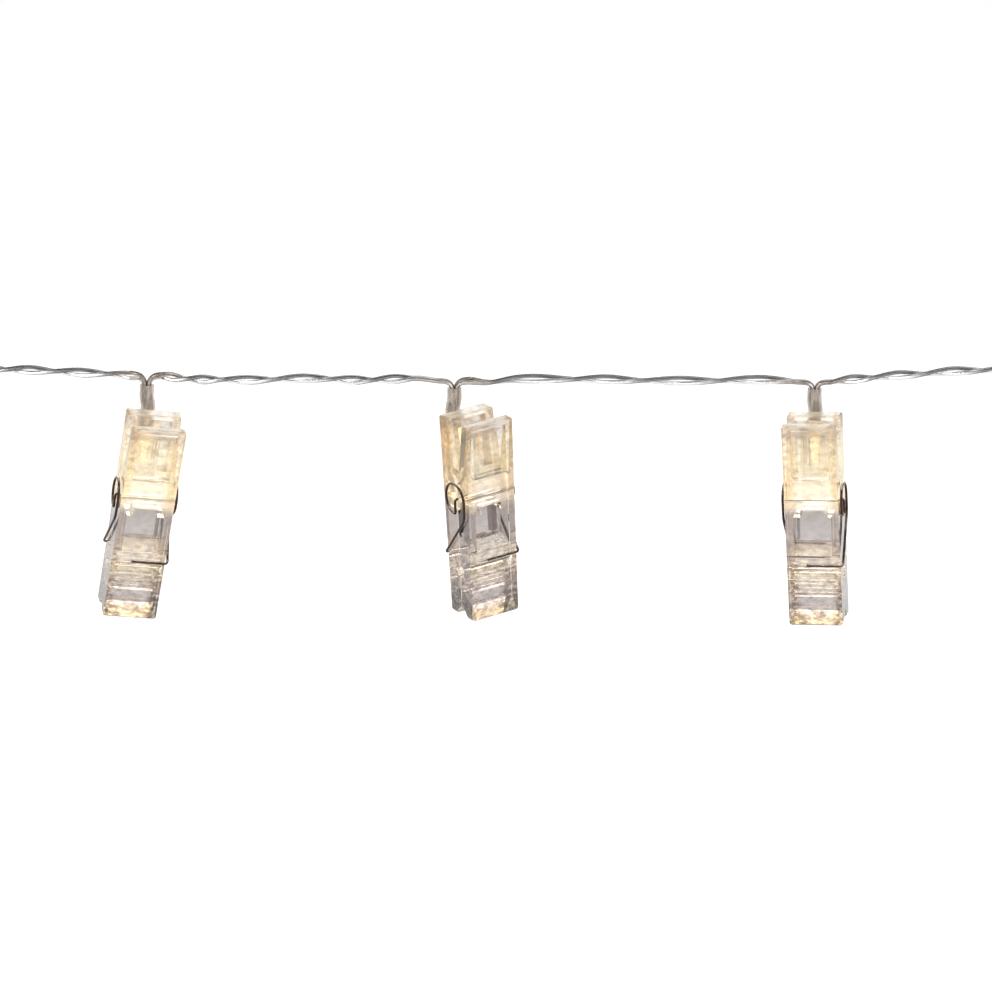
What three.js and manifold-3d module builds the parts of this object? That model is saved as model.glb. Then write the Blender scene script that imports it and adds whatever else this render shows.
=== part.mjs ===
// A stretch of a battery string of clip lights, in millimetres, +Z up.
// Three clear spring clips hang from a cord of two wires, each with a light in a column behind its handle.
// The origin is the eye of the cord's end loop, +X runs along the cord, and -Y is the front.
import * as THREE from "three";
import { mergeVertices } from "three/addons/utils/BufferGeometryUtils.js";
import Module from "manifold-3d";

const wasm = await Module();
wasm.setup();

// Clearances and counts that every piece shares
const gap = 0.3;
const overrun = 2;
const roundSides = 24;
const wireSides = 6;
const cordSides = 8;

// Clip halves, measured from the pivot axis
const handleLength = 20.5;
const tipLength = 32;
const jawWidth = 13.5;
const tipEndDepth = 4.8;
const flareStart = 0.7;
const frontHandleDepth = 5.8;
const frontHandleThickness = 2;
const rearHandleDepth = 6.7;
const rearHandleThickness = 3.4;
const handleCorner = 0.5;
const tipCorner = 1;
const handleRound = 0.7;
const tipRound = 1.1;
const roundSteps = 4;

// Windows sunk in the outer faces
const windowBorder = 2;
const windowTopBorder = 1.5;
const windowFloor = 1.1;
const crossBarTop = 6.2;
const crossBarBottom = -1.5;
const lowerWindowEnd = -11;
const lowerWindowRun = 2.5;
const cornerBlockWidth = 1.8;
const cornerBlockHeight = 2;

// Spring
const springWire = 0.65;
const springLoopRadius = 4.1;
const springDrop = 4.5;
const springBend = 0.9;
const springSplit = 6;
const springArmHeight = -16;
const springArmReach = 1.75;
const loopStartAngle = 30;
const loopEndAngle = 275;
const loopSteps = 18;
const bendSteps = 3;
const gapPoints = 400;
const gapReachShare = 4;

// Inner faces of the tips
const lineChannelRadius = 1.7;
const lineChannelHeight = -19.5;
const toothCount = 3;
const toothPitch = 1.1;
const toothDepth = 0.4;
const firstToothHeight = -22;
const pocketTop = -25.1;
const pocketBottom = -28.2;
const pocketDepth = 0.7;
const pocketBorder = 1.2;
const mouthHeight = 3.4;
const mouthDepth = 3;

// Light column behind the rear handle
const columnRadius = 2.85;
const columnDepth = 10.4;
const columnShift = -0.6;
const columnTop = 17;
const columnFoot = 1.5;
const columnFootRise = 6;
const boreClearance = 0.15;
const boreFloor = 6;

// Light
const ledRadius = 1.5;
const ledFlangeRadius = 1.8;
const ledFlangeHeight = 1;
const ledLength = 5;
const ledLeadRadius = 0.25;
const ledLeadSpacing = 1.27;
const ledLeadLength = 1.8;
const domeSteps = 5;

// Clear sleeve and the wires in it
const sleeveRadius = 1.9;
const sleeveWall = 0.4;
const sleeveStraight = 2;
const sleeveSteps = 8;
const sleeveSides = 16;
const coreRadius = 1.15;
const tailReach = 4;
const tailHalfWidth = 1.05;
const tailHalfHeight = 0.6;
const tailSteps = 8;
const tailPartShare = 0.5;
const tailSpreadShare = 0.125;

// Cord of two wires
const cordRadius = 1.1;
const cordStep = 5.5;

// Where each clip hangs, as shares of the clips' spacing, the cord's sag, the tails' drop and the sleeve's
// drop and radius, with its turn in degrees about X, Y and Z
const clipSpacing = 80;
const cordSag = 4;
const tailDrop = 2;
const sleeveDrop = 8;
const clipShares = [
  { along: 0.675, level: -0.65, top: 1.15, drop: 1.05, shift: 0.11, turn: [10.4, 9.4, 10.2] },
  { along: 1.6325, level: -0.975, top: 0.9, drop: 0.94, shift: -0.24, turn: [8.3, -2.4, 32.3] },
  { along: 2.755, level: -1.05, top: 0.8, drop: 0.99, shift: 0.17, turn: [3.4, -2.8, -11] },
];

// The cord's route in free stretches, as places along it and heights
const leftEndRoute = [[17, -0.9], [23.5, -1.1], [30, -1.4], [37, -1.8], [43.5, -2.1], [47, -2.3]];
const firstSpanRoute = [
  [61, -3.1], [65, -3.5], [71.8, -3.6], [79.5, -3.7], [85, -3.6], [92, -3.3], [99.5, -3.4], [104.5, -3.7],
  [110, -3.7], [117, -3.4], [122, -3.3],
];
const secondSpanRoute = [
  [139, -4.3], [145.8, -3.5], [152, -3.4], [159.5, -3.5], [167, -3.5], [176, -3.8], [187.5, -3.9],
  [195.5, -3.9], [202, -3.7], [209.5, -3.7], [213, -3.9],
];
const leadRoute = [
  [228.2, -3.7], [234, -3.2], [241, -2.5], [247, -2.2], [254.5, -1.5], [261, -1.3], [265, -1.1],
];

// End loop and the shrunk sleeve that closes it
const endLoopRoute = [
  [8.1, 1.25], [7, 1.45], [5, 2.4], [2.6, 3.8], [-0.4, 4.5], [-3.2, 3.3], [-4.5, 0], [-3.2, -3.3],
  [-0.4, -4.5], [2.6, -3.8], [5, -2.4], [7, -1.45], [8.1, -1.25],
];
const endLoopSteps = 24;
const crimpStart = 8.5;
const crimpLength = 6;
const crimpHalfHeight = 2.5;
const crimpHalfWidth = 1.6;

// Battery box
const boxAlong = 278;
const boxLevel = -0.8;
const cellRadius = 7.25;
const cellLength = 50.5;
const cellNubRadius = 2.75;
const cellNubLength = 1;
const cellCount = 3;
const cellSpacing = 0.6;
const boxWall = 1.6;
const boxCorner = 3;
const boxCornerSteps = 4;
const switchBayLength = 12;
const contactThickness = 0.5;
const contactMargin = 3;
const contactSpringHeight = 4;
const contactSpringWire = 0.6;
const contactSpringWide = 4;
const contactSpringNarrow = 2.6;
const contactSpringTurns = 3;
const turnSteps = 8;
const turnSides = 5;

// Battery lid
const lidThickness = 1.6;
const lidTongue = 0.8;
const lidTongueThickness = 0.7;
const gripCount = 3;
const gripPitch = 3;
const gripLength = 14;
const gripRadius = 0.5;

// Switch, timer board and lead entry
const switchBodyWidth = 5;
const switchBodyHeight = 12;
const switchBodyDepth = 5;
const switchTravel = 3;
const knobWidth = 3;
const knobHeight = 4;
const knobProud = 1.6;
const knobStemHeight = 2.4;
const knobStemWidth = 2;
const boardThickness = 1.2;
const boardHeight = 34;
const boardPostRadius = 1.5;
const boardPostSpacing = 26;
const grommetLength = 8;
const grommetTipRadius = 1.6;
const grommetBaseRadius = 2.8;
const grommetNeckRadius = 1.9;
const grommetRim = 1;
const innerWireRadius = 0.6;
const innerWireDrop = 12;
const innerWireBend = 1;
const innerWireSteps = 8;

const clearPlastic = new THREE.MeshStandardMaterial({
  color: 0xe9e4dc, roughness: 0.08, metalness: 0, transparent: true, opacity: 0.4, flatShading: true,
});
const clearSleeve = new THREE.MeshStandardMaterial({
  color: 0xb9aea2, roughness: 0.25, metalness: 0, transparent: true, opacity: 0.5, flatShading: true,
});
const springSteel = opaque(0x6a6764, 0.25, 1);
const warmLight = opaque(0xffe2a6, 0.3, 0);
const clearWire = opaque(0x9b9a98, 0.3, 0.2);
const boxPlastic = opaque(0xe6e6e2, 0.45, 0);
const cellSkin = opaque(0x2f6f8f, 0.35, 0.4);
const contactMetal = opaque(0xb8b8ba, 0.3, 1);
const boardResin = opaque(0x2e5a38, 0.6, 0);
const darkPlastic = opaque(0x2b2b2c, 0.5, 0);

function opaque(color, roughness, metalness) {
  return new THREE.MeshStandardMaterial({ color, roughness, metalness, flatShading: true });
}

// A closed geometry as a solid that can be joined and cut
function solid(geometry) {
  const bare = geometry.clone();
  bare.deleteAttribute("normal");
  bare.deleteAttribute("uv");
  const merged = mergeVertices(bare);
  return new wasm.Manifold(new wasm.Mesh({
    numProp: 3,
    vertProperties: new Float32Array(merged.attributes.position.array),
    triVerts: new Uint32Array(merged.index.array),
  }));
}

// A solid turned back into a geometry
function geometryOf(made) {
  const { vertProperties, triVerts } = made.getMesh();
  return new THREE.BufferGeometry()
    .setAttribute("position", new THREE.BufferAttribute(vertProperties, 3))
    .setIndex(new THREE.BufferAttribute(triVerts, 1));
}

function piece(name, shape, material) {
  const geometry = shape.isBufferGeometry ? shape : geometryOf(shape);
  const mesh = new THREE.Mesh(geometry, material);
  mesh.name = name;
  return mesh;
}

// A box between two corners
function block(low, high) {
  const size = high.map((value, axis) => value - low[axis]);
  const middle = high.map((value, axis) => (value + low[axis]) / 2);
  return solid(new THREE.BoxGeometry(...size).translate(...middle));
}

// A round rod along X, centred on the given depth and height
function rodAlongX(radius, length, depth, height) {
  const rod = new THREE.CylinderGeometry(radius, radius, length, roundSides);
  return solid(rod.rotateZ(Math.PI / 2).translate(0, depth, height));
}

// An outline in depth and height, extruded over a width centred on X
function slabAcrossX(outline, width) {
  const settings = { depth: width, bevelEnabled: false, curveSegments: bendSteps };
  const slab = new THREE.ExtrudeGeometry(outline, settings);
  const turn = new THREE.Matrix4().makeBasis(
    new THREE.Vector3(0, 1, 0), new THREE.Vector3(0, 0, 1), new THREE.Vector3(1, 0, 0));
  return slab.translate(0, 0, -width / 2).applyMatrix4(turn);
}

function outlineOf(points) {
  return new THREE.Shape(points.map(([across, up]) => new THREE.Vector2(across, up)));
}

// A path through given stations, for a sweep that puts one ring at each of them
class StationPath extends THREE.Curve {
  constructor(stations) {
    super();
    this.stations = stations;
  }

  getPoint(share, target = new THREE.Vector3()) {
    const place = share * (this.stations.length - 1);
    const index = Math.min(Math.floor(place), this.stations.length - 2);
    return target.lerpVectors(this.stations[index], this.stations[index + 1], place - index);
  }

  getPointAt(share, target) {
    return this.getPoint(share, target);
  }

  getTangentAt(share, target = new THREE.Vector3()) {
    const last = this.stations.length - 1;
    const index = Math.round(share * last);
    const here = this.stations[index];
    const arriving = here.clone().sub(this.stations[Math.max(index - 1, 0)]).normalize();
    const leaving = this.stations[Math.min(index + 1, last)].clone().sub(here).normalize();
    return target.copy(arriving).add(leaving).normalize();
  }
}

// A section swept along a list of stations
function sweep(section, stations) {
  const settings = {
    steps: stations.length - 1,
    extrudePath: new StationPath(stations),
    bevelEnabled: false,
    curveSegments: section.segments,
  };
  return new THREE.ExtrudeGeometry(section.shape, settings);
}

function polygonSection(radiusX, radiusY, sides) {
  const corners = Array.from({ length: sides }, (_, index) => {
    const angle = (2 * Math.PI * index) / sides;
    return new THREE.Vector2(radiusX * Math.cos(angle), radiusY * Math.sin(angle));
  });
  return { shape: new THREE.Shape(corners), segments: 1 };
}

function tube(stations, radius, sides) {
  return sweep(polygonSection(radius, radius, sides), stations);
}

// Stations along a smooth curve through a few points
function smooth(points, steps) {
  return new THREE.CatmullRomCurve3(points, false, "centripetal").getSpacedPoints(steps);
}

// A list of corners with each inner corner rounded, one radius for each
function roundedCorners(corners, radii) {
  return corners.flatMap((corner, index) => {
    if (index === 0 || index === corners.length - 1) return [corner];
    const radius = radii[index - 1];
    if (!radius) return [corner];
    const before = corners[index - 1].clone().sub(corner).setLength(radius).add(corner);
    const after = corners[index + 1].clone().sub(corner).setLength(radius).add(corner);
    return new THREE.QuadraticBezierCurve3(before, corner, after).getPoints(bendSteps);
  });
}

const frontHalf = { handleDepth: frontHandleDepth, handleThickness: frontHandleThickness };
const rearHalf = { handleDepth: rearHandleDepth, handleThickness: rearHandleThickness };
const springPlane = jawWidth / 2 + gap + springWire / 2;
const clipPlaces = clipShares.map((shares) => ({
  along: shares.along * clipSpacing,
  level: shares.level * cordSag,
  sleeveTop: shares.top * tailDrop,
  bendDrop: shares.drop * sleeveDrop,
  bendShift: shares.shift * sleeveRadius,
  turn: shares.turn,
}));

// Depth of a clip half's outer face at a height
function outerDepth(height, half) {
  const share = (height + tipLength) / (tipLength + handleLength);
  return THREE.MathUtils.lerp(tipEndDepth, half.handleDepth, share);
}

// Depth of its inner face, which leaves the other half from the pivot to the handle's end
function innerDepth(height, half) {
  const share = Math.max(height - flareStart, 0) / (handleLength - flareStart);
  return THREE.MathUtils.lerp(gap / 2, half.handleDepth - half.handleThickness, share);
}

// A clip half without its windows, on the +Y side of the pivot plane
function jawBlank(half) {
  const outline = new THREE.Shape();
  const tipOuter = outerDepth(-tipLength + tipCorner, half);
  const endDepth = half.handleDepth;
  outline.moveTo(innerDepth(handleLength, half), handleLength);
  outline.lineTo(endDepth - handleCorner, handleLength);
  outline.quadraticCurveTo(endDepth, handleLength, endDepth, handleLength - handleCorner);
  outline.lineTo(tipOuter, -tipLength + tipCorner);
  outline.quadraticCurveTo(tipOuter, -tipLength, tipOuter - tipCorner, -tipLength);
  outline.lineTo(gap / 2 + mouthDepth, -tipLength);
  outline.lineTo(gap / 2, -tipLength + mouthHeight);
  outline.lineTo(gap / 2, flareStart);
  return solid(slabAcrossX(outline, jawWidth)).intersect(roundedFront());
}

// The outline of both halves as seen from the front, with its corners rounded
function roundedFront() {
  const side = jawWidth / 2;
  const outline = new THREE.Shape();
  const corners = [
    [-side + tipRound, -tipLength + tipRound, tipRound, Math.PI],
    [side - tipRound, -tipLength + tipRound, tipRound, -Math.PI / 2],
    [side - handleRound, handleLength - handleRound, handleRound, 0],
    [-side + handleRound, handleLength - handleRound, handleRound, Math.PI / 2],
  ];
  for (const [across, up, radius, start] of corners) {
    outline.absarc(across, up, radius, start, start + Math.PI / 2, false);
  }
  const depth = rearHandleDepth + overrun;
  const settings = { depth, bevelEnabled: false, curveSegments: roundSteps };
  return solid(new THREE.ExtrudeGeometry(outline, settings).rotateX(Math.PI / 2).translate(0, depth, 0));
}

function jawWindows(half) {
  const width = jawWidth - 2 * windowBorder;
  const outside = half.handleDepth + overrun;
  const upperTop = handleLength - windowTopBorder;
  const floorDepth = (height) => innerDepth(height, half) + windowFloor;
  const upper = outlineOf([
    [floorDepth(crossBarTop), crossBarTop],
    [outside, crossBarTop],
    [outside, upperTop],
    [floorDepth(upperTop), upperTop],
  ]);
  const runEnd = outerDepth(lowerWindowEnd, half);
  const slope = lowerWindowRun / (runEnd - floorDepth(lowerWindowEnd));
  const lower = outlineOf([
    [floorDepth(lowerWindowEnd), lowerWindowEnd],
    [outside, lowerWindowEnd - slope * (outside - floorDepth(lowerWindowEnd))],
    [outside, crossBarBottom],
    [floorDepth(crossBarBottom), crossBarBottom],
  ]);
  return solid(slabAcrossX(upper, width)).add(solid(slabAcrossX(lower, width)));
}

// The two small blocks in the top corners of the lower window
function cornerBlocks(half) {
  const edge = jawWidth / 2 - windowBorder;
  const bottom = crossBarBottom - cornerBlockHeight;
  const floor = innerDepth(bottom, half) + windowFloor / 2;
  const face = outerDepth(bottom, half) - gap;
  const right = block([edge - cornerBlockWidth, floor, bottom], [edge + gap, face, crossBarBottom + gap]);
  const left = block([-edge - gap, floor, bottom], [-edge + cornerBlockWidth, face, crossBarBottom + gap]);
  return right.add(left);
}

function armDepth(half) {
  return outerDepth(springArmHeight, half) + springWire / 4;
}

function jaw(half) {
  const wireRoom = springWire / 2 + gap;
  const length = jawWidth + 2 * overrun;
  let made = jawBlank(half).subtract(jawWindows(half)).add(cornerBlocks(half));
  made = made.subtract(rodAlongX(wireRoom, length, 0, 0));
  made = made.subtract(rodAlongX(wireRoom, length, armDepth(half), springArmHeight));
  made = made.subtract(rodAlongX(lineChannelRadius, length, 0, lineChannelHeight));
  const pocketSide = jawWidth / 2 - pocketBorder;
  for (let tooth = 0; tooth < toothCount; tooth++) {
    const height = firstToothHeight - tooth * toothPitch;
    made = made.subtract(rodAlongX(toothDepth, 2 * pocketSide, gap / 2, height));
  }
  const pocketFloor = gap / 2 + pocketDepth;
  return made.subtract(block([-pocketSide, -gap, pocketBottom], [pocketSide, pocketFloor, pocketTop]));
}

// The D-shaped column that holds the light, with its foot sloped into the rear half
function lightColumn() {
  const root = innerDepth(columnFoot, rearHalf) + windowFloor / 2;
  const outline = new THREE.Shape();
  outline.moveTo(columnShift - columnRadius, root);
  outline.lineTo(columnShift + columnRadius, root);
  outline.lineTo(columnShift + columnRadius, columnDepth);
  outline.absarc(columnShift, columnDepth, columnRadius, 0, Math.PI, false);
  const settings = { depth: columnTop - columnFoot, bevelEnabled: false, curveSegments: roundSides / 4 };
  const body = solid(new THREE.ExtrudeGeometry(outline, settings).translate(0, 0, columnFoot));
  const back = columnDepth + columnRadius;
  const face = outerDepth(columnFoot, rearHalf);
  const rise = columnFootRise / (back - face);
  const foot = outlineOf([
    [face, columnFoot - overrun],
    [back + overrun, columnFoot - overrun],
    [back + overrun, columnFoot + rise * (back + overrun - face)],
    [face, columnFoot],
  ]);
  return body.subtract(solid(slabAcrossX(foot, jawWidth))).subtract(innerSpace());
}

// The wedge between the two handles, which the column must not fill
function innerSpace() {
  const wedge = outlineOf([
    [-frontHandleDepth, flareStart - overrun],
    [innerDepth(flareStart, rearHalf), flareStart - overrun],
    [innerDepth(flareStart, rearHalf), flareStart],
    [innerDepth(handleLength, rearHalf), handleLength],
    [-frontHandleDepth, handleLength],
  ]);
  return solid(slabAcrossX(wedge, jawWidth));
}

function rearJaw() {
  const boreRadius = sleeveRadius + boreClearance;
  const height = columnTop + overrun - boreFloor;
  const bore = new THREE.CylinderGeometry(boreRadius, boreRadius, height, roundSides).rotateX(Math.PI / 2);
  bore.translate(columnShift, columnDepth, boreFloor + height / 2);
  return jaw(rearHalf).add(lightColumn()).subtract(solid(bore));
}

function frontJaw() {
  return solid(geometryOf(jaw(frontHalf)).rotateZ(Math.PI));
}

// The wire's route from the pivot bar round its loop and down across a half's outer face
function springStations(start, half) {
  const axis = new THREE.Vector3(-springPlane, 0, 0);
  const bottom = new THREE.Vector3(-springPlane, 0, -springLoopRadius);
  const loop = Array.from({ length: loopSteps + 1 }, (_, index) => {
    const share = index / loopSteps;
    const angle = THREE.MathUtils.degToRad(THREE.MathUtils.lerp(loopStartAngle, loopEndAngle, share));
    return new THREE.Vector3(
      -springPlane, springLoopRadius * Math.sin(angle), -springLoopRadius * Math.cos(angle));
  });
  const side = new THREE.Vector3(-springPlane, loop[loopSteps].y, -springDrop);
  const corner = new THREE.Vector3(-springPlane, armDepth(half), springArmHeight);
  const end = new THREE.Vector3(springArmReach, armDepth(half), springArmHeight);
  const corners = [new THREE.Vector3(start, 0, 0), axis, bottom, ...loop, side, corner, end];
  const radii = [springBend, springBend, ...loop.map(() => 0), 2 * springBend, springBend];
  return roundedCorners(corners, radii);
}

function rearSpringRoute() {
  return springStations(springSplit - gap, rearHalf);
}

function frontSpringRoute() {
  return springStations(-springSplit, frontHalf);
}

// The least gap between stretches of a wound wire that lie a few diameters apart along it
function leastGap(stations, wire) {
  const curve = new THREE.CatmullRomCurve3(stations, false, "centripetal");
  const points = curve.getSpacedPoints(gapPoints);
  const reach = Math.ceil((gapReachShare * wire * gapPoints) / curve.getLength());
  let least = Infinity;
  for (let first = 0; first < points.length; first++) {
    for (let second = first + reach; second < points.length; second++) {
      least = Math.min(least, points[first].distanceTo(points[second]) - wire);
    }
  }
  return least;
}

// The light: lens down, flange up, with two leads that enter the sleeve
function led() {
  const lensTip = boreFloor + gap;
  const flangeBottom = lensTip + ledLength - ledFlangeHeight;
  const dome = Array.from({ length: domeSteps + 1 }, (_, index) => {
    const angle = (Math.PI / 2) * (index / domeSteps);
    return new THREE.Vector2(ledRadius * Math.sin(angle), lensTip + ledRadius * (1 - Math.cos(angle)));
  });
  dome[0].x = 0;
  const flangeTop = flangeBottom + ledFlangeHeight;
  const profile = [
    ...dome,
    new THREE.Vector2(ledRadius, flangeBottom),
    new THREE.Vector2(ledFlangeRadius, flangeBottom),
    new THREE.Vector2(ledFlangeRadius, flangeTop),
    new THREE.Vector2(0, flangeTop),
  ];
  let made = solid(new THREE.LatheGeometry(profile, roundSides / 2).rotateX(Math.PI / 2));
  for (const side of [-1, 1]) {
    const length = ledLeadLength + ledFlangeHeight / 2;
    const lead = new THREE.CylinderGeometry(ledLeadRadius, ledLeadRadius, length, wireSides);
    const middle = flangeTop - ledFlangeHeight / 2 + length / 2;
    made = made.add(solid(lead.rotateX(Math.PI / 2).translate((side * ledLeadSpacing) / 2, 0, middle)));
  }
  return geometryOf(made).translate(columnShift, columnDepth, 0);
}

// The sleeve's middle line, from a height in the light column up to its top, seen from the cord
function sleeveStations(place, tilt, lowHeight) {
  const up = new THREE.Vector3(0, 0, 1).applyQuaternion(tilt.quaternion);
  const bend = tilt.position;
  const buried = lowHeight - columnTop - sleeveStraight;
  const top = new THREE.Vector3(0, 0, -place.sleeveTop);
  const upper = top.clone().setZ((top.z + bend.z) / 2);
  const points = [bend.clone().addScaledVector(up, buried), bend.clone().addScaledVector(up, buried / 2)];
  return smooth([...points, bend.clone(), upper, top], sleeveSteps);
}

function sleeveLow() {
  return boreFloor + gap + ledLength + gap;
}

function sleeve(place, tilt) {
  const outer = polygonSection(sleeveRadius, sleeveRadius, sleeveSides);
  const inner = polygonSection(sleeveRadius - sleeveWall, sleeveRadius - sleeveWall, sleeveSides);
  outer.shape.holes.push(inner.shape);
  return sweep(outer, sleeveStations(place, tilt, sleeveLow()));
}

// The wires in the sleeve, which part above it into a tail for the cord on each side
function wireTails(place, tilt) {
  const low = boreFloor + gap + ledLength + ledLeadLength + gap;
  let made = solid(tube(sleeveStations(place, tilt, low), coreRadius, cordSides));
  for (const side of [-1, 1]) {
    const top = -place.sleeveTop;
    const route = [
      new THREE.Vector3(0, 0, top - coreRadius),
      new THREE.Vector3(0, 0, top - tailHalfHeight / 2),
      new THREE.Vector3((side * (sleeveRadius - sleeveWall)) / 2, 0, top * tailPartShare),
      new THREE.Vector3(side * sleeveRadius, 0, top * tailSpreadShare),
      new THREE.Vector3(side * tailReach, 0, 0),
    ];
    const section = polygonSection(tailHalfWidth, tailHalfHeight, cordSides);
    made = made.add(solid(sweep(section, smooth(route, tailSteps))));
  }
  return made;
}

// One clip with everything that hangs from its sleeve
function clip(number, place) {
  const hanging = new THREE.Group();
  hanging.position.set(place.along, 0, place.level);
  const tilt = new THREE.Group();
  tilt.position.set(place.bendShift, 0, -place.bendDrop);
  tilt.rotation.set(...place.turn.map(THREE.MathUtils.degToRad), "XYZ");
  const body = new THREE.Group();
  body.position.set(-columnShift, -columnDepth, -columnTop - sleeveStraight);
  const name = (ending) => "clip_" + number + "_" + ending;
  const rearWire = tube(rearSpringRoute(), springWire / 2, wireSides);
  const frontWire = tube(frontSpringRoute(), springWire / 2, wireSides).rotateZ(Math.PI);
  body.add(
    piece(name("rear_jaw"), rearJaw(), clearPlastic),
    piece(name("front_jaw"), frontJaw(), clearPlastic),
    piece(name("spring_rear"), rearWire, springSteel),
    piece(name("spring_front"), frontWire, springSteel),
    piece(name("led"), led(), warmLight),
  );
  tilt.add(body);
  hanging.add(
    tilt,
    piece(name("sleeve"), sleeve(place, tilt), clearSleeve),
    piece(name("wire_tails"), wireTails(place, tilt), clearWire),
  );
  return hanging;
}

// One free stretch of the cord between two faces that it stops short of
function cordStretch(name, start, route, end) {
  const points = [start, ...route, end].map(([along, height]) => new THREE.Vector3(along, 0, height));
  const curve = new THREE.CatmullRomCurve3(points, false, "centripetal");
  const steps = Math.max(Math.round(curve.getLength() / cordStep), 1);
  return piece(name, tube(curve.getSpacedPoints(steps), cordRadius, cordSides), clearWire);
}

function cord() {
  const before = clipPlaces.map((place) => [place.along - tailReach - gap, place.level]);
  const after = clipPlaces.map((place) => [place.along + tailReach + gap, place.level]);
  const loopPoints = endLoopRoute.map(([along, height]) => new THREE.Vector3(along, 0, height));
  const crimp = new THREE.CylinderGeometry(1, 1, crimpLength, roundSides / 2).rotateZ(Math.PI / 2);
  crimp.scale(1, crimpHalfWidth, crimpHalfHeight).translate(crimpStart + crimpLength / 2, 0, 0);
  const crimpFace = [crimpStart + crimpLength + gap, leftEndRoute[0][1] / 2];
  return [
    piece("end_loop", tube(smooth(loopPoints, endLoopSteps), cordRadius, cordSides), clearWire),
    piece("end_crimp", crimp, clearSleeve),
    cordStretch("cord_left_end", crimpFace, leftEndRoute, before[0]),
    cordStretch("cord_span_1_2", after[0], firstSpanRoute, before[1]),
    cordStretch("cord_span_2_3", after[1], secondSpanRoute, before[2]),
    cordStretch("cord_battery_lead", after[2], leadRoute, [boxAlong - grommetLength - gap, boxLevel]),
  ];
}

// Sizes of the battery box that follow from its cells
const cellPitch = 2 * cellRadius + cellSpacing;
const contactRoom = contactThickness + 2 * gap;
const bayHalfHeight = (cellCount * cellPitch) / 2 + gap;
const cellRoom = cellLength + 2 * contactRoom + contactSpringHeight + gap;
const boxLength = 3 * boxWall + switchBayLength + cellRoom;
const boxHalfHeight = bayHalfHeight + boxWall;
const boxDepth = boxWall + gap + 2 * cellRadius + gap + lidThickness;
const boxFront = -boxDepth / 2;
const boxBack = boxDepth / 2;
const cellStart = 2 * boxWall + switchBayLength;
const cellDepth = boxBack - boxWall - gap - cellRadius;
const bayMiddle = boxWall + switchBayLength / 2;
const boardBack = boxBack - boxWall - switchBodyDepth;
const boardMargin = grommetRim + 2 * gap;

function roundedBox(low, high) {
  const width = high[0] - low[0];
  const height = high[2] - low[2];
  const outline = new THREE.Shape();
  const arcs = [
    [width - boxCorner, boxCorner, -Math.PI / 2],
    [width - boxCorner, height - boxCorner, 0],
    [boxCorner, height - boxCorner, Math.PI / 2],
    [boxCorner, boxCorner, Math.PI],
  ];
  for (const [across, up, start] of arcs) {
    outline.absarc(across, up, boxCorner, start, start + Math.PI / 2, false);
  }
  const settings = { depth: high[1] - low[1], bevelEnabled: false, curveSegments: boxCornerSteps / 2 };
  const slab = new THREE.ExtrudeGeometry(outline, settings).rotateX(Math.PI / 2);
  return solid(slab.translate(low[0], high[1], low[2]));
}

function batteryCase() {
  const lidBack = boxFront + lidThickness + gap;
  const pastEnd = boxLength + overrun;
  const shell = roundedBox([0, boxFront, -boxHalfHeight], [boxLength, boxBack, boxHalfHeight]);
  const cellBay = block(
    [cellStart, boxFront - overrun, -bayHalfHeight],
    [cellStart + cellRoom, boxBack - boxWall, bayHalfHeight]);
  const switchBay = block(
    [boxWall, boxFront + boxWall, -bayHalfHeight],
    [boxWall + switchBayLength, boxBack - boxWall, bayHalfHeight]);
  const lidWay = block([cellStart, boxFront - overrun, -bayHalfHeight], [pastEnd, lidBack, bayHalfHeight]);
  const tongueWay = block(
    [cellStart, lidBack - lidTongueThickness - 2 * gap, -bayHalfHeight - lidTongue],
    [pastEnd, lidBack, bayHalfHeight + lidTongue]);
  const stemRoom = (knobStemHeight + switchTravel) / 2 + gap;
  const knobSlot = block(
    [bayMiddle - knobStemWidth / 2 - gap, boxFront - overrun, -stemRoom],
    [bayMiddle + knobStemWidth / 2 + gap, boxFront + boxWall + overrun, stemRoom]);
  const entry = rodAlongX(grommetNeckRadius + gap, 2 * overrun, 0, 0);
  let made = shell.subtract(cellBay).subtract(switchBay).subtract(lidWay).subtract(tongueWay);
  made = made.subtract(knobSlot).subtract(entry);
  for (const side of [-1, 1]) {
    const length = boxBack - boardBack - boardThickness - gap;
    const post = new THREE.CylinderGeometry(boardPostRadius, boardPostRadius, length, roundSides / 2);
    const depth = boxBack - length / 2 - gap;
    made = made.add(solid(post.translate(bayMiddle, depth, (side * boardPostSpacing) / 2)));
  }
  return made;
}

function batteryLid() {
  const low = boxFront;
  const high = boxFront + lidThickness;
  const start = cellStart + gap;
  const half = bayHalfHeight - gap;
  const reach = half + lidTongue;
  let made = block([start, low, -half], [boxLength, high, half]);
  made = made.add(block([start, high - lidTongueThickness, -reach], [boxLength, high, reach]));
  for (let grip = 0; grip < gripCount; grip++) {
    const bar = new THREE.CylinderGeometry(gripRadius, gripRadius, gripLength, roundSides / 2);
    const along = boxLength - (grip + 2) * gripPitch;
    made = made.add(solid(bar.rotateX(Math.PI / 2).translate(along, low, 0)));
  }
  return made;
}

// A cell lying along X from its flat end to its nub
function cell() {
  const body = cellLength - cellNubLength;
  const profile = [
    new THREE.Vector2(0, 0),
    new THREE.Vector2(cellRadius, 0),
    new THREE.Vector2(cellRadius, body),
    new THREE.Vector2(cellNubRadius, body),
    new THREE.Vector2(cellNubRadius, cellLength),
    new THREE.Vector2(0, cellLength),
  ];
  return new THREE.LatheGeometry(profile, roundSides).rotateZ(-Math.PI / 2);
}

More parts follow.
